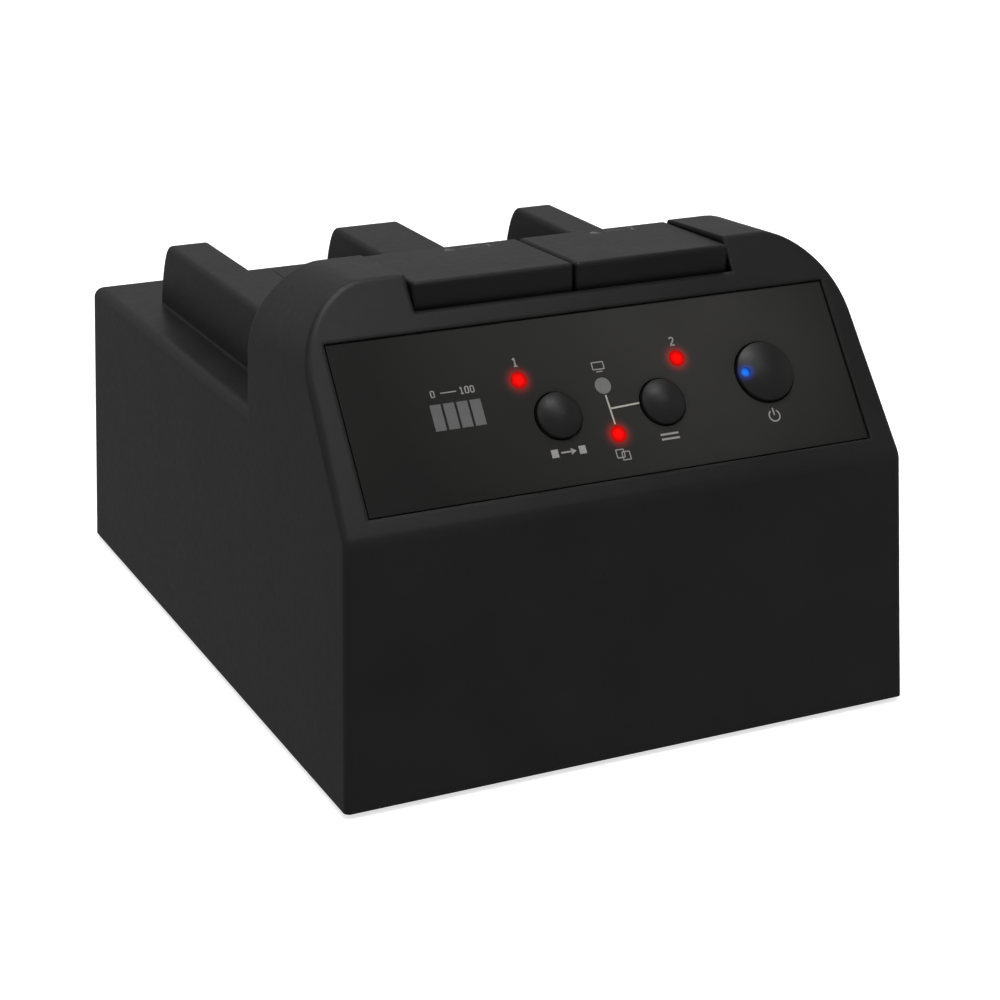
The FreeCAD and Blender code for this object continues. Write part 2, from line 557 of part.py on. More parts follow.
def lever():
    # straight rocking lever: rounded nose, boss round the pin, rounded toe
    t = 4.0
    a = math.radians(LEV_A)
    nose = V(0, PIV_Y - ARM_F * math.cos(a), PIV_Z + ARM_F * math.sin(a))
    toe = V(0, PIV_Y + ARM_R * math.cos(a), PIV_Z - ARM_R * math.sin(a))
    x0 = -LEV_X - t / 2.0
    parts = [cyl(NOSE_R, t, V(x0, nose.y, nose.z), V(1, 0, 0)), cyl(4.0, t, V(x0, PIV_Y, PIV_Z), V(1, 0, 0)),
             cyl(2.0, t, V(x0, toe.y, toe.z), V(1, 0, 0))]
    d = (toe - nose).normalize()
    n = V(0, -d.z, d.y)
    for w, r in ((nose, 1.2), (toe, 1.2)):
        p = V(0, PIV_Y, PIV_Z)
        pts = [w + n * r, w - n * r, p - n * 3.0, p + n * 3.0]
        parts.append(poly_yz([(q.y, q.z) for q in pts], x0, x0 + t))
    s = fuse(*parts)
    return s.cut(cyl(1.5 + FIT / 2.0, 10, V(x0 - 3, PIV_Y, PIV_Z), V(1, 0, 0)))


lv = lever()
save(lv, "left_eject_lever")
save(mx(lv), "right_eject_lever")
pins = cyl(1.5, 10.0, V(-LEV_X - 5.0, PIV_Y, PIV_Z), V(1, 0, 0))
save(Part.makeCompound([pins, mx(pins)]), "lever_pins")

NOSE_Y = PIV_Y - ARM_F * math.cos(math.radians(LEV_A))
NOSE_TOP = PIV_Z + ARM_F * math.sin(math.radians(LEV_A)) + NOSE_R


def key(sx):
    x0, x1 = -NOTCH_HW + 0.45, -0.3
    y0, y1 = Y0 + KEY_FRONT, Y0 + HUMP_REAR - 0.15
    zt = FOOT + KEY_TOP
    zc = FOOT + KEY_CEIL
    zl = zc - 13.8
    o = poly_yz([(y0, zl), (y1, zl), (y1, zt - KEY_FALL * (y1 - y0)), (y0, zt)], x0, x1)
    e = pick(o, lambda p: abs(p.z - zt + KEY_FALL * (p.y - y0)) < 1e-3 and p.y < y1 - 0.01)
    v = pick(o, lambda p: abs(p.y - y0) < 1e-3 and p.z < zt - 0.01 and p.z > zl + 0.01)
    o = o.makeFillet(1.0, e + v)
    o = o.cut(box(x0 + 1.9, x1 - 1.9, y0 + 1.9, y1 - 1.9, zl - 1.0, zc))
    # square stem down to the lever's nose
    stem = box(-LEV_X - 3.0, -LEV_X + 3.0, NOSE_Y - 3.0, NOSE_Y + 3.0, NOSE_TOP + 1.6, zc + 0.2)
    tip = poly_yz([(NOSE_Y - 1.5, NOSE_TOP + 0.03), (NOSE_Y + 1.5, NOSE_TOP + 0.03), (NOSE_Y + 3.0, NOSE_TOP + 1.6),
                   (NOSE_Y - 3.0, NOSE_TOP + 1.6)], -LEV_X - 3.0, -LEV_X + 3.0)
    cross = box(x0 + 1.0, x1 - 1.0, NOSE_Y - 0.8, NOSE_Y + 0.8, zc - 3.8, zc + 0.2)
    cross = cross.cut(cyl(6.6, 20, V(-LEV_X, NOSE_Y, zc - 9.8)))
    o = fuse(o, stem, tip, cross)
    return o if sx < 0 else mx(o)


save(key(-1), "left_eject_key")
save(key(1), "right_eject_key")

SPR_Z0 = 87.0
SPR_Z1 = FOOT + KEY_CEIL
spr = helix(5.3, 0.9, (SPR_Z1 - SPR_Z0 - 0.9) / 6.0, SPR_Z1 - SPR_Z0 - 0.9, V(-LEV_X, NOSE_Y, SPR_Z0 + 0.45))
save(spr, "left_key_spring")
save(mx(spr), "right_key_spring")

kb = box(-GUIDE_OUT - 1.0, GUIDE_OUT + 1.0, NOSE_Y - 7.0, SLOT_Y0 - GW - 0.3, 84.0, 87.0)
for sx in (-1, 1):
    kb = kb.fuse(box(sx * LEV_X - 5.0, sx * LEV_X + 5.0, NOSE_Y - 5.0, NOSE_Y + 5.0, 76.0, 84.0))
kb = kb.removeSplitter()
bs = []
for sx in (-1, 1):
    kb = kb.cut(box(sx * LEV_X - 3.1, sx * LEV_X + 3.1, NOSE_Y - 3.1, NOSE_Y + 3.1, 70, 90))
    for x in (-41.0, -21.0):
        kb = kb.cut(cyl(1.4, 8.0, V(sx * x, -40.5, 82.0)))
        h = cyl(2.4, 1.5, V(sx * x, -40.5, 87.0))
        h = h.cut(cyl(1.0, 1.0, V(sx * x, -40.5, 87.9)))
        bs.append(fuse(h, cyl(1.0, 7.0, V(sx * x, -40.5, 80.0))))
save(kb, "key_bracket")
save(Part.makeCompound(bs), "bracket_screws")


# ----------------------------------------------------------------- bay doors
def door(ztop, y0, y1, skirt, lug_ys):
    za = ztop - HINGE_DROP
    o = box(-43.0, -15.5, y0, y1, ztop - DOOR_T, ztop)
    e = pick(o, lambda p: abs(p.z - ztop) < 1e-3)
    o = o.makeFillet(0.4, e)
    # stiffening rib along the free edge
    o = o.fuse(box(-22.0, -20.6, y0 + 3, y1 - 3, ztop - DOOR_T - 1.6, ztop - DOOR_T))
    # barrels on the hinge rod, each joined to the leaf by an arm
    for yb in lug_ys:
        o = o.fuse(cyl(2.05, 6.0, V(-HINGE_X, yb, za), V(0, 1, 0)))
        arm = poly_xz([(-HINGE_X, za - 2.05), (-HINGE_X + 0.6, za - 2.05), (-41.0, ztop - DOOR_T), (-41.0, ztop - DOOR_T + 0.3),
                       (-42.9, ztop - DOOR_T + 0.3), (-42.9, ztop - 2.35), (-HINGE_X, ztop - 2.5)], yb, yb + 6.0)
        o = o.fuse(arm)
    if skirt:
        lo = za - 9.6
        sk = box(-43.0, -15.5, 25.9, 27.4, lo, ztop - 0.4)
        o = o.fuse(sk)
    o = o.removeSplitter()
    o = o.cut(cyl(ROD_D / 2.0 + FIT / 2.0, 300, V(-HINGE_X, -100, za), V(0, 1, 0)))
    return o


F_Y0 = SLOT_Y0 + 0.4
R_Y0, R_Y1 = 30.4, SLOT_Y1 - 0.4
# the front leaf ends just inside the platform's back wall and carries a skirt there
fd = door(PLAT_Z, F_Y0, 27.4, True, (SLOT_Y0 + 1.0, 14.0))
rd = door(DECK_Z, R_Y0, R_Y1, False, (33.0, SLOT_Y1 - 9.7))
save(fd, "left_front_door")
save(mx(fd), "right_front_door")
save(rd, "left_rear_door")
save(mx(rd), "right_rear_door")
rods = []
for sx in (-1, 1):
    rods.append(cyl(ROD_D / 2.0, 25.0 - SLOT_Y0 + 1.7, V(sx * HINGE_X, SLOT_Y0 - 1.7, PLAT_Z - HINGE_DROP), V(0, 1, 0)))
    rods.append(cyl(ROD_D / 2.0, SLOT_Y1 - 0.5 - 30.2, V(sx * HINGE_X, 30.2, DECK_Z - HINGE_DROP), V(0, 1, 0)))
save(Part.makeCompound(rods), "door_hinge_rods")
for nm, zt, y in (("front", PLAT_Z, -24.0), ("rear", DECK_Z, 42.0)):
    s = helix(1.65, 0.42, 0.62, 6.2, V(-HINGE_X, y, zt - HINGE_DROP), V(0, 1, 0), True)
    save(s, "left_%s_door_spring" % nm)
    save(mx(s), "right_%s_door_spring" % nm)

# ----------------------------------------------------------------- electronics
pcb = box(-60.5, 60.5, -28.0, 98.0, PCB_Z, PCB_Z + 1.6)
for x, y in LEG_XY:
    if y > 0:
        pcb = pcb.cut(box(x - 3.0, x + 3.0, y - 3.2, y + 3.2, 0, 20))
for x, y in boss_xy:
    pcb = pcb.cut(cyl(1.4, 5, V(x, y, PCB_Z - 1)))
save(pcb, "main_board")
TOPZ = PCB_Z + 1.6
ps = []
for x, y in boss_xy:
    ps.append(fuse(cyl(2.4, 1.4, V(x, y, TOPZ)), cyl(1.1, 6.6, V(x, y, TOPZ - 6.6))))
save(Part.makeCompound(ps), "board_screws")


def sata():
    x = -20.4
    b = box(x - 3.6, x + 3.6, -23.0, 19.0, TOPZ, 19.6)
    t1 = box(x - 1.1, x + 0.3, -20.0, 0.2, 19.6, 24.6)
    t2 = box(x - 1.1, x + 0.3, 3.4, 14.6, 19.6, 24.6)
    l1 = box(x - 1.1, x + 1.9, -20.9, -20.0, 19.6, 24.6)
    l2 = box(x - 1.1, x + 1.9, 14.6, 15.5, 19.6, 24.6)
    ends = [box(x - 3.6, x + 3.6, -23.0, -21.9, 19.0, 25.2), box(x - 3.6, x + 3.6, 17.9, 19.0, 19.0, 25.2)]
    return fuse(b, t1, t2, l1, l2, *ends)


def contacts():
    x = -20.4
    c = [box(x - 1.25, x - 1.1, -19.4 + i * 1.27, -18.8 + i * 1.27, 19.6, 24.0) for i in range(15)]
    c += [box(x - 1.25, x - 1.1, 4.2 + i * 1.27, 4.8 + i * 1.27, 19.6, 24.0) for i in range(7)]
    return c


sc = sata()
save(sc, "left_drive_connector")
save(mx(sc), "right_drive_connector")
cc = contacts()
save(Part.makeCompound(cc + [mx(q) for q in cc]), "connector_contacts")

chips = [box(-8, 8, 34, 50, TOPZ, TOPZ + 1.6), box(-5, 5, 12, 24, TOPZ, TOPZ + 1.4), box(50.5, 58.5, 40, 48, TOPZ, TOPZ + 1.4),
         box(-58.5, -50.5, 40, 48, TOPZ, TOPZ + 1.4)]
save(Part.makeCompound(chips), "bridge_chips")
caps = []
for x, y, r, h in ((-54.5, 62, 4, 11), (-54.5, 72, 4, 11), (54.5, 64, 4, 11), (4, 78, 3.15, 7), (12, 78, 3.15, 7), (54.5, 16, 4, 9)):
    c = cyl(r, h, V(x, y, TOPZ))
    c = c.makeFillet(0.4, [e for e in c.Edges if abs(e.CenterOfMass.z - TOPZ - h) < 0.01])
    caps.append(c)
save(Part.makeCompound(caps), "capacitors")

# power inlet and data port, their faces flush with the back wall
by = -Y0 - DRAFT * (PORT_Z - FOOT)
dc = box(DC_X - 4.6, DC_X + 4.6, 86.5, 98.8, TOPZ, TOPZ + 11.4)
dc = dc.fuse(cyl(5.0, 4.0, V(DC_X, 98.2, PORT_Z), V(0, 1, 0)))
dc = dc.removeSplitter().cut(cyl(2.8, 11.0, V(DC_X, by - 9.5, PORT_Z), V(0, 1, 0)))
save(dc, "power_inlet")
save(cyl(1.0, 9.3, V(DC_X, by - 9.5, PORT_Z), V(0, 1, 0)), "power_inlet_pin")
usb = box(USB_X - 6.2, USB_X + 6.2, 84.0, by - 0.25, 12.0 - 0.0, 22.9)
usb = usb.fuse(box(USB_X - 6.2, USB_X + 6.2, 84.0, 98.0, TOPZ, 12.2)).removeSplitter()
usb = usb.cut(box(USB_X - 4.3, USB_X + 4.3, by - 11.0, 110, 13.2, 21.8))
save(usb, "data_port_shell")
tg = box(USB_X - 2.8, USB_X + 2.8, by - 11.0, by - 1.8, 15.6, 18.8)
save(tg, "data_port_tongue")

# flat cable from the front board to the main board
cab = rounded_profile([(-78.0, 52.0, 0), (-78.0, 15.0, 3.0), (-34.0, 15.0, 1.2), (-30.0, 13.0, 1.2), (-24.0, 13.0, 0), (-24.0, 13.8, 0),
                       (-29.8, 13.8, 1.2), (-33.8, 15.8, 1.2), (-77.2, 15.8, 2.2), (-77.2, 52.0, 0)], -9.0, 9.0)
save(cab, "flat_cable")
hd = box(-11.0, 11.0, -27.0, -19.5, TOPZ, TOPZ + 5.5)
hd = hd.cut(box(-9.05, 9.05, -28.0, -23.9, 12.95, 13.85))
save(hd, "board_socket")
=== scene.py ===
import bpy
import bmesh
import math
from mathutils import Vector, Matrix


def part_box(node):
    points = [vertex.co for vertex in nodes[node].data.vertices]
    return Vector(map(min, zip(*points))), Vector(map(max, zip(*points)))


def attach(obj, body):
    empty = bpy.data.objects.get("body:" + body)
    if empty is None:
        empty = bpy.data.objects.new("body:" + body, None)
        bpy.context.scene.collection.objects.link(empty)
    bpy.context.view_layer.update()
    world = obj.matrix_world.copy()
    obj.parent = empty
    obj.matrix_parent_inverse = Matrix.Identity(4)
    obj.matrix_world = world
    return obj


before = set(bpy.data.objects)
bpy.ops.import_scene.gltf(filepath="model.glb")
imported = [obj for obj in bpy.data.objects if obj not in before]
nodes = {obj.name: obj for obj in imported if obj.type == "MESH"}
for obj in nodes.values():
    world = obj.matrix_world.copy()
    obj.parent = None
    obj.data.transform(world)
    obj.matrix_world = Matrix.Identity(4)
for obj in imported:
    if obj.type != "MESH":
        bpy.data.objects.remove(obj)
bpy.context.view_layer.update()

scene = bpy.context.scene

# ------------------------------------------------------------------ geometry shared with the frame
DEPTH = 0.206
FOOT = 0.0012
FRONT_H = 0.0649
TH = math.radians(36.5)
O = Vector((0.0, -DEPTH / 2 + 0.0412 * FRONT_H, FOOT + FRONT_H))
EX = Vector((1, 0, 0))
ES = Vector((0, math.sin(TH), math.cos(TH)))
EN = Vector((0, -math.cos(TH), math.sin(TH)))
PANEL_N = -0.00045
POWER = (0.0432, 0.0262)
LIT = ((-0.0214, 0.0330), (0.0209, 0.0329), (0.0, 0.0163))


def on_slope(x, s, n=0.0):
    return O + EX * x + ES * s + EN * n


# ------------------------------------------------------------------ node helpers
class Mat:
    def __init__(self, name):
        self.m = bpy.data.materials.new(name)
        self.m.use_nodes = True
        self.t = self.m.node_tree
        self.b = self.t.nodes["Principled BSDF"]
        self.x = -300

    def n(self, kind, **kw):
        o = self.t.nodes.new(kind)
        self.x -= 40
        o.location = (self.x, 0)
        for k, v in kw.items():
            if k.startswith("i_"):
                o.inputs[k[2:].replace("_", " ")].default_value = v
            else:
                setattr(o, k, v)
        return o

    def link(self, a, b):
        self.t.links.new(a, b)

    def coord(self):
        return self.n("ShaderNodeTexCoord").outputs["Object"]

    def noise(self, scale, detail=3.0, rough=0.55, vec=None, dist=0.0):
        o = self.n("ShaderNodeTexNoise")
        o.inputs["Scale"].default_value = scale
        o.inputs["Detail"].default_value = detail
        o.inputs["Roughness"].default_value = rough
        o.inputs["Distortion"].default_value = dist
        self.link(vec or self.coord(), o.inputs["Vector"])
        return o.outputs["Fac"]

    def remap(self, val, a, b, lo, hi, smooth=False):
        o = self.n("ShaderNodeMapRange")
        if smooth:
            o.interpolation_type = "SMOOTHSTEP"
        o.inputs["From Min"].default_value = a
        o.inputs["From Max"].default_value = b
        o.inputs["To Min"].default_value = lo
        o.inputs["To Max"].default_value = hi
        self.link(val, o.inputs["Value"])
        return o.outputs["Result"]

    def ramp(self, val, stops):
        o = self.n("ShaderNodeValToRGB")
        e = o.color_ramp.elements
        while len(e) < len(stops):
            e.new(0.5)
        for el, (p, c) in zip(e, stops):
            el.position = p
            el.color = (*c, 1.0)
        self.link(val, o.inputs["Fac"])
        return o.outputs["Color"]

    def mixc(self, fac, a, b, mode="MIX"):
        o = self.n("ShaderNodeMix", data_type="RGBA", blend_type=mode)
        if isinstance(fac, (int, float)):
            o.inputs[0].default_value = fac
        else:
            self.link(fac, o.inputs[0])
        for v, i in ((a, 6), (b, 7)):
            if isinstance(v, tuple):
                o.inputs[i].default_value = (*v, 1.0)
            else:
                self.link(v, o.inputs[i])
        return o.outputs[2]

    def math(self, op, a, b=0.0, c=None):
        o = self.n("ShaderNodeMath", operation=op)
        for i, v in enumerate((a, b) if c is None else (a, b, c)):
            if isinstance(v, (int, float)):
                o.inputs[i].default_value = v
            else:
                self.link(v, o.inputs[i])
        return o.outputs[0]

    def bump(self, height, strength, dist, normal=None):
        o = self.n("ShaderNodeBump")
        o.inputs["Strength"].default_value = strength
        o.inputs["Distance"].default_value = dist
        self.link(height, o.inputs["Height"])
        if normal is not None:
            self.link(normal, o.inputs["Normal"])
        return o.outputs["Normal"]

    def soft_edge(self, radius):
        o = self.n("ShaderNodeBevel")
        o.samples = 4
        o.inputs["Radius"].default_value = radius
        return o.outputs["Normal"]

    def set(self, **kw):
        for k, v in kw.items():
            s = self.b.inputs[k.replace("_", " ")]
            if hasattr(v, "is_output"):
                self.link(v, s)
            elif isinstance(v, tuple):
                s.default_value = (*v, 1.0) if len(v) == 3 and len(s.default_value) == 4 else v
            else:
                s.default_value = v
        return self


def moulded(name, dark, light, rough=(0.5, 0.6), grain=0.00045, depth=0.000035, strength=0.5, edge=0.00025, spec=0.35, mottle=40.0):
    """Spark-eroded moulded plastic: fine grain, slow colour drift, softened edges."""
    a = Mat(name)
    c = a.coord()
    fine = a.noise(1.0 / grain, 2.0, 0.6, c)
    mid = a.noise(0.22 / grain, 3.0, 0.5, c)
    slow = a.noise(mottle, 4.0, 0.55, c)
    col = a.ramp(a.math("ADD", a.math("MULTIPLY", fine, 0.35), a.math("MULTIPLY", slow, 0.65)), ((0.30, dark), (0.70, light)))
    rg = a.remap(a.math("ADD", a.math("MULTIPLY", mid, 0.5), a.math("MULTIPLY", slow, 0.5)), 0.3, 0.7, rough[0], rough[1])
    h = a.math("ADD", fine, a.math("MULTIPLY", mid, 0.8))
    nrm = a.soft_edge(edge) if edge else None
    a.set(Base_Color=col, Roughness=rg, Normal=a.bump(h, strength, depth, nrm))
    a.b.inputs["Specular IOR Level"].default_value = spec
    return a.m


BLACK_D, BLACK_L = (0.0070, 0.0069, 0.0067), (0.0112, 0.0110, 0.0107)
m_case = moulded("case_black_grain", BLACK_D, BLACK_L, rough=(0.36, 0.44), edge=0.0013, spec=0.35)
m_key = moulded("key_black_grain", (0.0068, 0.0067, 0.0066), (0.0105, 0.0103, 0.0101), rough=(0.34, 0.42), edge=0.0007, spec=0.30)
m_door = moulded("door_black_grain", (0.0088, 0.0087, 0.0084), (0.0136, 0.0134, 0.0130), rough=(0.38, 0.46))
m_base = moulded("base_black_plain", (0.008, 0.008, 0.008), (0.013, 0.013, 0.013), rough=(0.40, 0.52), grain=0.0009, depth=0.00002)
m_button = moulded("button_satin", (0.0070, 0.0070, 0.0071), (0.0105, 0.0105, 0.0107), rough=(0.42, 0.50), grain=0.0003, depth=0.000012, strength=0.35, edge=0.0003, spec=0.42)


PIPE = (POWER[0] - 0.00585, POWER[1] + 0.0002)


def painted_pipe_glow():
    """Painted glow: blue emission on the button plastic right around the light point stands in for the light it
    spills.
    """
    a = Mat.__new__(Mat)
    a.m = m_button
    a.t = m_button.node_tree
    a.b = a.t.nodes["Principled BSDF"]
    a.x = -2400
    d = a.n("ShaderNodeVectorMath", operation="DISTANCE")
    a.link(a.coord(), d.inputs[0])
    d.inputs[1].default_value = on_slope(PIPE[0], PIPE[1], 0.0013)
    g = a.math("POWER", a.remap(d.outputs["Value"], 0.0008, 0.0040, 1.0, 0.0, smooth=True), 4.0)
    a.link(a.mixc(g, (0.0, 0.0, 0.0), (0.006, 0.036, 0.26)), a.b.inputs["Emission Color"])
    a.b.inputs["Emission Strength"].default_value = 1.0


painted_pipe_glow()


def film_material():
    """Printed satin film with a painted sheen that lightens its colour towards the upper middle; a painted red glow
    around the lit lamps behind it stands in for the light they bleed into it.
    """
    a = Mat("panel_film")
    c = a.coord()
    fine = a.noise(3600.0, 2.0, 0.6, c)
    slow = a.noise(26.0, 3.0, 0.5, c)
    col = a.ramp(a.math("ADD", a.math("MULTIPLY", fine, 0.3), a.math("MULTIPLY", slow, 0.7)),
                 ((0.3, (0.0080, 0.0079, 0.0075)), (0.7, (0.0112, 0.0110, 0.0105))))
    # Painted highlight: near the upper middle the film's colour is scaled up to four times, standing in for the sheen
    # of a light.
    sheen_centre_dist = a.n("ShaderNodeVectorMath", operation="DISTANCE")
    a.link(c, sheen_centre_dist.inputs[0])
    sheen_centre_dist.inputs[1].default_value = on_slope(0.022, 0.046, PANEL_N)
    painted_sheen_gain = a.remap(sheen_centre_dist.outputs["Value"], 0.012, 0.080, 4.0, 1.0)
    col_with_painted_sheen = a.n("ShaderNodeVectorMath", operation="SCALE")
    a.link(col, col_with_painted_sheen.inputs[0])
    a.link(painted_sheen_gain, col_with_painted_sheen.inputs["Scale"])
    a.link(col_with_painted_sheen.outputs["Vector"], a.b.inputs["Base Color"])
    a.set(Roughness=a.remap(slow, 0.3, 0.7, 0.38, 0.45), Normal=a.bump(fine, 0.4, 0.000012))
    a.b.inputs["Specular IOR Level"].default_value = 0.14
    # Painted glow: red emission on the film around each lit lamp stands in for the lamp light spilling into it.
    painted_lamp_glow = None
    for x, s in LIT:
        d = a.n("ShaderNodeVectorMath", operation="DISTANCE")
        a.link(c, d.inputs[0])
        d.inputs[1].default_value = on_slope(x, s, PANEL_N)
        g = a.remap(d.outputs["Value"], 0.0012, 0.0068, 1.0, 0.0, smooth=True)
        g = a.math("POWER", g, 5.0)
        painted_lamp_glow = g if painted_lamp_glow is None else a.math("MAXIMUM", painted_lamp_glow, g)
    em = a.mixc(painted_lamp_glow, (0.0, 0.0, 0.0), (0.27, 0.0030, 0.0024))
    a.link(em, a.b.inputs["Emission Color"])
    a.b.inputs["Emission Strength"].default_value = 1.0
    return a.m


def lamp_material(name, core, rim, centres, radius, strength, base, gloss=(0.22, 0.5), height=PANEL_N):
    """A lit lens, hotter in the middle than at its rim."""
    a = Mat(name)
    c = a.coord()
    near = None
    for x, s in centres:
        d = a.n("ShaderNodeVectorMath", operation="DISTANCE")
        a.link(c, d.inputs[0])
        d.inputs[1].default_value = on_slope(x, s, height)
        near = d.outputs["Value"] if near is None else a.math("MINIMUM", near, d.outputs["Value"])
    f = a.remap(near, 0.15 * radius, radius, 0.0, 1.0, smooth=True)
    grain = a.noise(1500.0, 2.0, 0.5, c)
    f2 = a.math("ADD", f, a.remap(grain, 0.3, 0.7, -0.08, 0.08))
    em = a.ramp(f2, ((0.0, core), (0.42, tuple(0.70 * p + 0.30 * q for p, q in zip(core, rim))), (1.0, rim)))
    a.set(Base_Color=base, Roughness=gloss[0])
    a.b.inputs["Specular IOR Level"].default_value = gloss[1]
    a.link(em, a.b.inputs["Emission Color"])
    a.b.inputs["Emission Strength"].default_value = strength
    a.link(a.bump(grain, 0.2, 0.00001), a.b.inputs["Normal"])
    return a.m


m_film = film_material()
m_red = lamp_material("red_lens_lit", (0.98, 0.0038, 0.0026), (0.28, 0.0016, 0.0012), LIT, 0.0025, 1.0, (0.05, 0.0006, 0.0004), (0.34, 0.03))
m_blue = lamp_material("blue_point_lit", (0.010, 0.19, 0.90), (0.008, 0.09, 0.48), (PIPE,), 0.0014, 1.0, (0.01, 0.03, 0.10), (0.30, 0.2), 0.0013)


def frosted(name, dark, light, rough):
    a = Mat(name)
    c = a.coord()
    g = a.noise(2200.0, 3.0, 0.6, c)
    s = a.noise(160.0, 2.0, 0.5, c)
    a.set(Base_Color=a.ramp(a.math("ADD", a.math("MULTIPLY", g, 0.4), a.math("MULTIPLY", s, 0.6)), ((0.3, dark), (0.7, light))),
          Roughness=a.remap(g, 0.3, 0.7, rough - 0.06, rough + 0.06), Normal=a.bump(g, 0.3, 0.00001))
    return a.m


m_clear = frosted("frosted_lens", (0.105, 0.104, 0.104), (0.135, 0.134, 0.136), 0.42)
m_pclens = frosted("unlit_lens", (0.16, 0.16, 0.158), (0.20, 0.20, 0.198), 0.38)
m_ink = frosted("grey_ink", (0.30, 0.295, 0.285), (0.37, 0.365, 0.35), 0.6)
m_ink_dim = frosted("dim_ink", (0.11, 0.115, 0.125), (0.16, 0.166, 0.178), 0.6)
m_ink_cream = frosted("cream_ink", (0.44, 0.42, 0.36), (0.52, 0.50, 0.44), 0.55)


def rubber():
    a = Mat("foot_rubber")
    g = a.noise(1800.0, 4.0, 0.65)
    a.set(Base_Color=a.ramp(g, ((0.3, (0.010, 0.010, 0.010)), (0.7, (0.022, 0.021, 0.020)))), Roughness=a.remap(g, 0.3, 0.7, 0.75, 0.92), Normal=a.bump(g, 0.6, 0.00005))
    return a.m


def metal(name, dark, light, rough, scale=(900.0, 60.0, 60.0), bump=0.00001):
    a = Mat(name)
    mp = a.n("ShaderNodeMapping")
    mp.inputs["Scale"].default_value = scale
    a.link(a.coord(), mp.inputs["Vector"])
    g = a.noise(1.0, 4.0, 0.6, mp.outputs["Vector"])
    s = a.noise(70.0, 3.0, 0.5)
    a.set(Base_Color=a.ramp(g, ((0.3, dark), (0.7, light))), Metallic=1.0, Roughness=a.remap(s, 0.3, 0.7, rough - 0.07, rough + 0.09), Normal=a.bump(g, 0.35, bump))
    return a.m


def board():
    a = Mat("board_green")
    c = a.coord()
    v = a.n("ShaderNodeTexVoronoi", distance="MANHATTAN", feature="F1")
    v.inputs["Scale"].default_value = 240.0
    a.link(c, v.inputs["Vector"])
    tr = a.n("ShaderNodeTexBrick")
    tr.inputs["Scale"].default_value = 160.0
    tr.inputs["Mortar Size"].default_value = 0.035
    a.link(c, tr.inputs["Vector"])
    s = a.noise(300.0, 2.0, 0.5, c)
    base = a.mixc(a.remap(tr.outputs["Fac"], 0.0, 1.0, 0.0, 0.65), (0.006, 0.055, 0.020), (0.012, 0.105, 0.038))
    col = a.mixc(a.remap(v.outputs["Distance"], 0.02, 0.10, 0.35, 0.0), base, (0.30, 0.24, 0.08))
    a.set(Base_Color=col, Roughness=a.remap(s, 0.3, 0.7, 0.22, 0.36), Normal=a.bump(tr.outputs["Fac"], 0.3, 0.00002))
    return a.m


m_rubber = rubber()
m_steel = metal("zinc_steel", (0.42, 0.42, 0.43), (0.60, 0.60, 0.62), 0.34)
m_spring = metal("spring_wire", (0.34, 0.33, 0.32), (0.52, 0.51, 0.50), 0.30, (120.0, 120.0, 2200.0))
m_nickel = metal("nickel_shell", (0.55, 0.54, 0.51), (0.72, 0.71, 0.68), 0.24)
m_gold = metal("gold_contacts", (0.62, 0.42, 0.12), (0.82, 0.62, 0.24), 0.26)
m_board = board()
m_conn = moulded("connector_black", (0.012, 0.012, 0.012), (0.024, 0.024, 0.024), rough=(0.34, 0.46), grain=0.0006, depth=0.00001, edge=0.0)
m_lever = moulded("lever_natural", (0.42, 0.41, 0.37), (0.52, 0.51, 0.47), rough=(0.4, 0.5), grain=0.0008, depth=0.00001, edge=0.0)
m_can = moulded("sleeved_can", (0.010, 0.012, 0.03), (0.020, 0.024, 0.05), rough=(0.25, 0.35), grain=0.001, depth=0.00001, edge=0.0)
m_spacer = moulded("nylon", (0.60, 0.58, 0.52), (0.70, 0.68, 0.62), rough=(0.45, 0.55), grain=0.0008, depth=0.00001, edge=0.0)
m_led = frosted("lamp_bodies", (0.62, 0.61, 0.55), (0.74, 0.73, 0.66), 0.35)


def ribbon():
    a = Mat("ribbon_grey")
    c = a.coord()
    w = a.n("ShaderNodeTexWave", wave_type="BANDS", bands_direction="X")
    w.inputs["Scale"].default_value = 250.0
    a.link(c, w.inputs["Vector"])
    a.set(Base_Color=a.ramp(w.outputs["Fac"], ((0.0, (0.16, 0.17, 0.18)), (0.35, (0.30, 0.31, 0.33)), (1.0, (0.34, 0.35, 0.37)))),
          Roughness=a.remap(a.noise(400.0, 2.0, 0.5, c), 0.3, 0.7, 0.42, 0.55), Normal=a.bump(w.outputs["Fac"], 0.5, 0.0001))
    return a.m


m_ribbon = ribbon()

LOOK = {
    m_case: ("top_shell",),
    m_base: ("base_plate", "key_bracket", "left_bay_guide", "right_bay_guide"),
    m_rubber: ("rubber_feet",),
    m_film: ("panel_overlay",),
    m_key: ("left_eject_key", "right_eject_key"),
    m_button: ("duplicate_button", "mode_button", "power_button"),
    m_door: ("left_front_door", "right_front_door", "left_rear_door", "right_rear_door"),
    m_lever: ("left_eject_lever", "right_eject_lever"),
    m_steel: ("base_screws", "lever_pins", "door_hinge_rods", "board_screws", "bracket_screws", "front_board_screws"),
    m_spring: ("left_key_spring", "right_key_spring", "left_front_door_spring", "right_front_door_spring", "left_rear_door_spring", "right_rear_door_spring"),
    m_red: ("source_lamp", "target_lamp", "copy_lamp"),
    m_pclens: ("pc_lamp",),
    m_clear: ("progress_light_bars",),
    m_blue: ("power_light_pipe",),
    m_board: ("main_board", "front_board"),
    m_conn: ("left_drive_connector", "right_drive_connector", "board_socket", "power_inlet", "bridge_chips", "tact_switches", "data_port_tongue",
             "duplicate_plunger", "mode_plunger", "power_plunger"),
    m_gold: ("connector_contacts",),
    m_nickel: ("data_port_shell", "power_inlet_pin"),
    m_led: ("panel_leds",),
    m_can: ("capacitors",),
    m_spacer: ("front_board_spacers",),
    m_ribbon: ("flat_cable",),
}
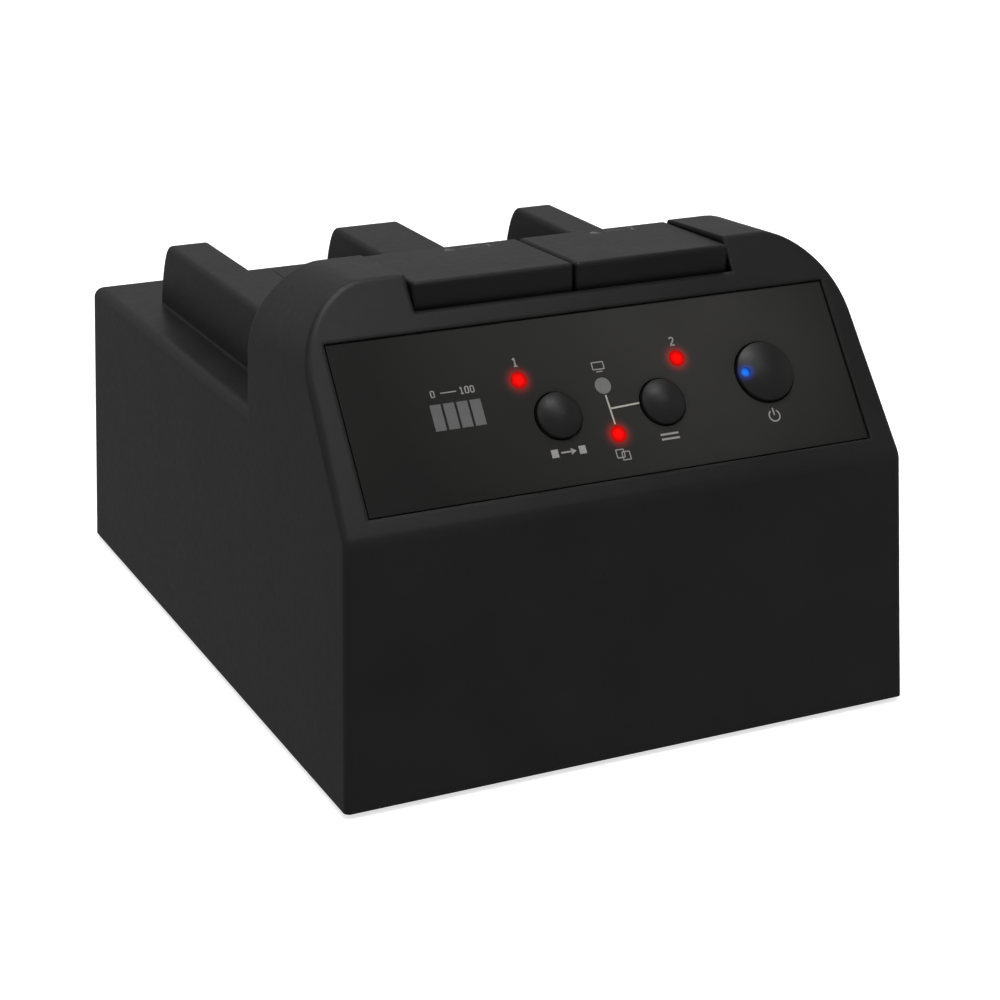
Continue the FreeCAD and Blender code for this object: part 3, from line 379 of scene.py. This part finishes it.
done = set()
for mat, names in LOOK.items():
    for nm in names:
        ob = nodes[nm]
        ob.data.materials.clear()
        ob.data.materials.append(mat)
        done.add(nm)
left = sorted(set(nodes) - done)
if left:
    raise RuntimeError("nodes with no material: " + ", ".join(left))


# ------------------------------------------------------------------ printed marks
def mark(name, verts, faces, mat, body="case"):
    me = bpy.data.meshes.new(name)
    me.from_pydata([tuple(v) for v in verts], [], faces)
    me.validate()
    me.materials.append(mat)
    ob = bpy.data.objects.new(name, me)
    scene.collection.objects.link(ob)
    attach(ob, body)
    return ob


class Plane:
    """A drawing plane: 2D outlines in millimetres become thin raised ink."""
    def __init__(self, origin, u, v, thick=0.00003):
        self.o, self.u, self.v = origin, u.normalized(), v.normalized()
        self.w = self.u.cross(self.v).normalized()
        self.t = thick
        self.verts, self.faces = [], []

    def put(self, pts):
        # convex outline
        n = len(pts)
        b = len(self.verts)
        for z in (0.0, self.t):
            for x, y in pts:
                self.verts.append(self.o + self.u * (x * 0.001) + self.v * (y * 0.001) + self.w * (z + 0.000004))
        self.faces.append(tuple(b + n + i for i in range(n)))
        for i in range(n):
            j = (i + 1) % n
            self.faces.append((b + i, b + j, b + n + j, b + n + i))

    def rect(self, x0, y0, x1, y1):
        self.put([(x0, y0), (x1, y0), (x1, y1), (x0, y1)])

    def stroke(self, p, q, w):
        p, q = Vector(p), Vector(q)
        d = (q - p).normalized()
        n = Vector((-d.y, d.x)) * (w / 2)
        self.put([tuple(p - n), tuple(q - n), tuple(q + n), tuple(p + n)])

    def arc(self, c, r, a0, a1, w, k=20):
        for i in range(k):
            t0 = math.radians(a0 + (a1 - a0) * i / k)
            t1 = math.radians(a0 + (a1 - a0) * (i + 1) / k)
            r0, r1 = r - w / 2, r + w / 2
            self.put([(c[0] + r0 * math.cos(t0), c[1] + r0 * math.sin(t0)), (c[0] + r1 * math.cos(t0), c[1] + r1 * math.sin(t0)),
                      (c[0] + r1 * math.cos(t1), c[1] + r1 * math.sin(t1)), (c[0] + r0 * math.cos(t1), c[1] + r0 * math.sin(t1))])

    def make(self, name, mat, body="case", slot="panel_film"):
        return mark(name, self.verts, self.faces, mat, body)


def panel_plane(thick=0.00003):
    return Plane(on_slope(0, 0, PANEL_N), EX, ES, thick)


SEG = {  # strokes of plain numerals in a 0.6 x 1 cell
    "0": [((0.06, 0.12), (0.06, 0.88)), ((0.54, 0.12), (0.54, 0.88)), ((0.12, 0.94), (0.48, 0.94)), ((0.12, 0.06), (0.48, 0.06)),
          ((0.06, 0.86), (0.14, 0.94)), ((0.46, 0.94), (0.54, 0.86)), ((0.54, 0.14), (0.46, 0.06)), ((0.14, 0.06), (0.06, 0.14))],
    "1": [((0.32, 0.0), (0.32, 1.0)), ((0.12, 0.80), (0.32, 0.97)), ((0.10, 0.05), (0.54, 0.05))],
    "2": [((0.06, 0.82), (0.16, 0.94)), ((0.16, 0.94), (0.44, 0.94)), ((0.44, 0.94), (0.54, 0.82)), ((0.54, 0.82), (0.54, 0.64)),
          ((0.54, 0.64), (0.07, 0.08)), ((0.04, 0.06), (0.58, 0.06))],
    "5": [((0.52, 0.94), (0.08, 0.94)), ((0.10, 0.94), (0.08, 0.56)), ((0.08, 0.56), (0.40, 0.58)), ((0.40, 0.58), (0.54, 0.44)), ((0.54, 0.44), (0.54, 0.20)),
          ((0.54, 0.20), (0.42, 0.06)), ((0.42, 0.06), (0.14, 0.06)), ((0.14, 0.06), (0.05, 0.18))],
}


def numerals(pl, text, cx, cy, h, w=0.16):
    adv = 0.80 * h
    x = cx - adv * len(text) / 2 + 0.1 * h
    for ch in text:
        if ch == "-":
            pl.stroke((x + 0.08 * h, cy), (x + 0.56 * h, cy), w * h)
        elif ch in SEG:
            for p, q in SEG[ch]:
                pl.stroke((x + p[0] * h, cy - h / 2 + p[1] * h), (x + q[0] * h, cy - h / 2 + q[1] * h), w * h)
        x += adv


# grey ink on the panel: numerals, arrows and plain symbols in place of words
pl = panel_plane()
numerals(pl, "1", -21.2, 37.5, 2.2)
numerals(pl, "2", 20.8, 37.3, 2.2)
numerals(pl, "0", -43.6, 32.5, 1.7)
pl.stroke((-41.6, 32.5), (-37.6, 32.5), 0.26)
numerals(pl, "100", -34.9, 32.5, 1.7)
# start-copy symbol: a bar feeding a bar
pl.rect(-18.3, 12.9, -16.5, 14.9)
pl.stroke((-15.8, 13.9), (-12.9, 13.9), 0.4)
pl.put([(-13.2, 13.05), (-11.8, 13.9), (-13.2, 14.75)])
pl.rect(-11.1, 12.9, -9.3, 14.9)
# mode symbol: two bars
pl.rect(10.8, 13.0, 15.6, 13.5)
pl.rect(10.8, 14.2, 15.6, 14.7)
# screen outline over the upper lamp, double page under the lower lamp
for a, b in (((-1.8, 32.9), (1.2, 32.9)), ((1.2, 32.9), (1.2, 34.7)), ((1.2, 34.7), (-1.8, 34.7)), ((-1.8, 34.7), (-1.8, 32.9)), ((-1.1, 32.3), (0.5, 32.3))):
    pl.stroke(a, b, 0.26)
for dx, dy in ((-0.9, 0.2), (0.5, -0.5)):
    for a, b in (((-1.0, 10.3), (1.0, 10.3)), ((1.0, 10.3), (1.0, 12.3)), ((1.0, 12.3), (-1.0, 12.3)), ((-1.0, 12.3), (-1.0, 10.3))):
        pl.stroke((a[0] + dx, a[1] + dy), (b[0] + dx, b[1] + dy), 0.26)
# stand-by symbol
pl.arc((42.5, 14.9), 1.45, -238, 58, 0.36)
pl.stroke((42.5, 15.0), (42.5, 16.9), 0.36)
pl.make("panel_marks", m_ink)

# fine line that links the two mode lamps to the mode button
pl = panel_plane()
pl.stroke((-0.42, 26.3), (-0.12, 18.8), 0.42)
pl.stroke((-0.27, 22.8), (7.7, 23.15), 0.42)
pl.make("lamp_link_line", m_ink_cream)

# numerals and eject symbols near the back of the keys
KEY_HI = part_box("left_eject_key")[1].z
KEY_FRONT_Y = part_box("left_eject_key")[0].y
KEY_FALL = 0.030
for body, cx, num in (("left_eject_key", -15.3, "1"), ("right_eject_key", 25.0, "2")):
    v = Vector((0, 1, -KEY_FALL)).normalized()
    y = -0.0383
    kp = Plane(Vector((0, y, KEY_HI - KEY_FALL * (y - KEY_FRONT_Y))), Vector((1, 0, 0)), v)
    numerals(kp, num, cx + 5.6, 0.0, 2.6, 0.17)
    kp.put([(cx - 6.6, -0.2), (cx - 3.6, -0.2), (cx - 5.1, 1.3)])
    kp.rect(cx - 6.6, -1.2, cx - 3.6, -0.65)
    kp.stroke((cx - 1.9, 0.0), (cx + 3.1, 0.0), 0.36)
    kp.make(body + "_mark", m_ink_dim, body, "key_plastic")

# ------------------------------------------------------------------ camera
cam = bpy.data.cameras.new("camera")
cam.lens = 85.262
cam.sensor_width = 36.0
cam.clip_start = 0.01
co = bpy.data.objects.new("camera", cam)
scene.collection.objects.link(co)
RIGHT = Vector((0.90526, -0.42484, -0.00397)).normalized()
FWD = Vector((0.39814, 0.85155, -0.34109)).normalized()
UP = RIGHT.cross(FWD).normalized()
RIGHT = FWD.cross(UP).normalized()
co.matrix_world = Matrix(((RIGHT.x, UP.x, -FWD.x, -0.25059), (RIGHT.y, UP.y, -FWD.y, -0.55998),
                          (RIGHT.z, UP.z, -FWD.z, 0.25538), (0, 0, 0, 1)))
scene.camera = co


# ------------------------------------------------------------------ floor and light
def floor():
    a = Mat("pale_floor")
    g = a.noise(9.0, 3.0, 0.5)
    f = a.noise(700.0, 3.0, 0.6)
    a.set(Base_Color=a.ramp(g, ((0.3, (0.86, 0.86, 0.855)), (0.7, (0.90, 0.90, 0.895)))), Roughness=a.remap(f, 0.3, 0.7, 0.62, 0.78),
          Emission_Color=(1.0, 1.0, 1.0), Emission_Strength=0.68)
    me = bpy.data.meshes.new("floor")
    # plain sheet that curves up far behind
    prof = [(-4.0, 0.0), (2.2, 0.0)]
    for i in range(1, 13):
        t = math.radians(90 * i / 12)
        prof.append((2.2 + 1.2 * math.sin(t), 1.2 - 1.2 * math.cos(t)))
    prof.append((3.4, 4.0))
    vs, fs = [], []
    ax = Vector((0.4254, 0.905, 0.0))
    side = Vector((0.905, -0.4254, 0.0))
    for y, z in prof:
        for w in (-4.5, 4.5):
            p = ax * y + side * w
            vs.append((p.x, p.y, z - 0.00005))
    for i in range(len(prof) - 1):
        fs.append((2 * i, 2 * i + 1, 2 * i + 3, 2 * i + 2))
    me.from_pydata(vs, [], fs)
    for p in me.polygons:
        p.use_smooth = True
    me.materials.append(a.m)
    ob = bpy.data.objects.new("floor", me)
    scene.collection.objects.link(ob)
    ob.visible_glossy = False
    return ob


floor()


def area(name, loc, target, size, power, sy=None, color=(1, 1, 1)):
    l = bpy.data.lights.new(name, "AREA")
    l.shape = "RECTANGLE"
    l.size = size
    l.size_y = sy or size
    l.energy = power
    l.color = color
    o = bpy.data.objects.new(name, l)
    scene.collection.objects.link(o)
    o.location = loc
    o.rotation_euler = (Vector(target) - Vector(loc)).to_track_quat("-Z", "Y").to_euler()
    return o


area("top_softbox", (0.0, -0.12, 1.5), (0, 0, 0.05), 0.62, 8.0, 0.62)
area("panel_softbox", (0.20, -0.70, 1.02), (-0.02, -0.08, 0.1), 0.32, 1.15, 0.32)
area("left_softbox", (-1.3, -0.35, 1.3), (0, 0, 0.06), 0.6, 2.0, 0.6)
area("back_wash", (0.3, 1.6, 2.2), (0.9, 3.0, 0.4), 2.4, 30.0, 1.2)

world = bpy.data.worlds.new("studio")
scene.world = world
world.use_nodes = True
wt = world.node_tree
bg = wt.nodes["Background"]
tc = wt.nodes.new("ShaderNodeTexCoord")
sx = wt.nodes.new("ShaderNodeSeparateXYZ")
wt.links.new(tc.outputs["Generated"], sx.inputs[0])
rp = wt.nodes.new("ShaderNodeValToRGB")
mr = wt.nodes.new("ShaderNodeMapRange")
mr.inputs["From Min"].default_value = -1.0
mr.inputs["From Max"].default_value = 1.0
wt.links.new(sx.outputs["Z"], mr.inputs["Value"])
wt.links.new(mr.outputs["Result"], rp.inputs["Fac"])
el = rp.color_ramp.elements
el[0].position, el[0].color = 0.0, (0.14, 0.14, 0.14, 1)
el[1].position, el[1].color = 1.0, (0.14, 0.14, 0.145, 1)
for pos, v in ((0.40, 0.19), (0.50, 0.22), (0.56, 0.34), (0.68, 0.34), (0.78, 0.17)):
    e = el.new(pos)
    e.color = (v, v, v * 1.01, 1)
wt.links.new(rp.outputs["Color"], bg.inputs["Color"])
bg.inputs["Strength"].default_value = 1.0

scene.view_settings.view_transform = "Standard"
scene.view_settings.look = "None"
scene.view_settings.exposure = 0.0
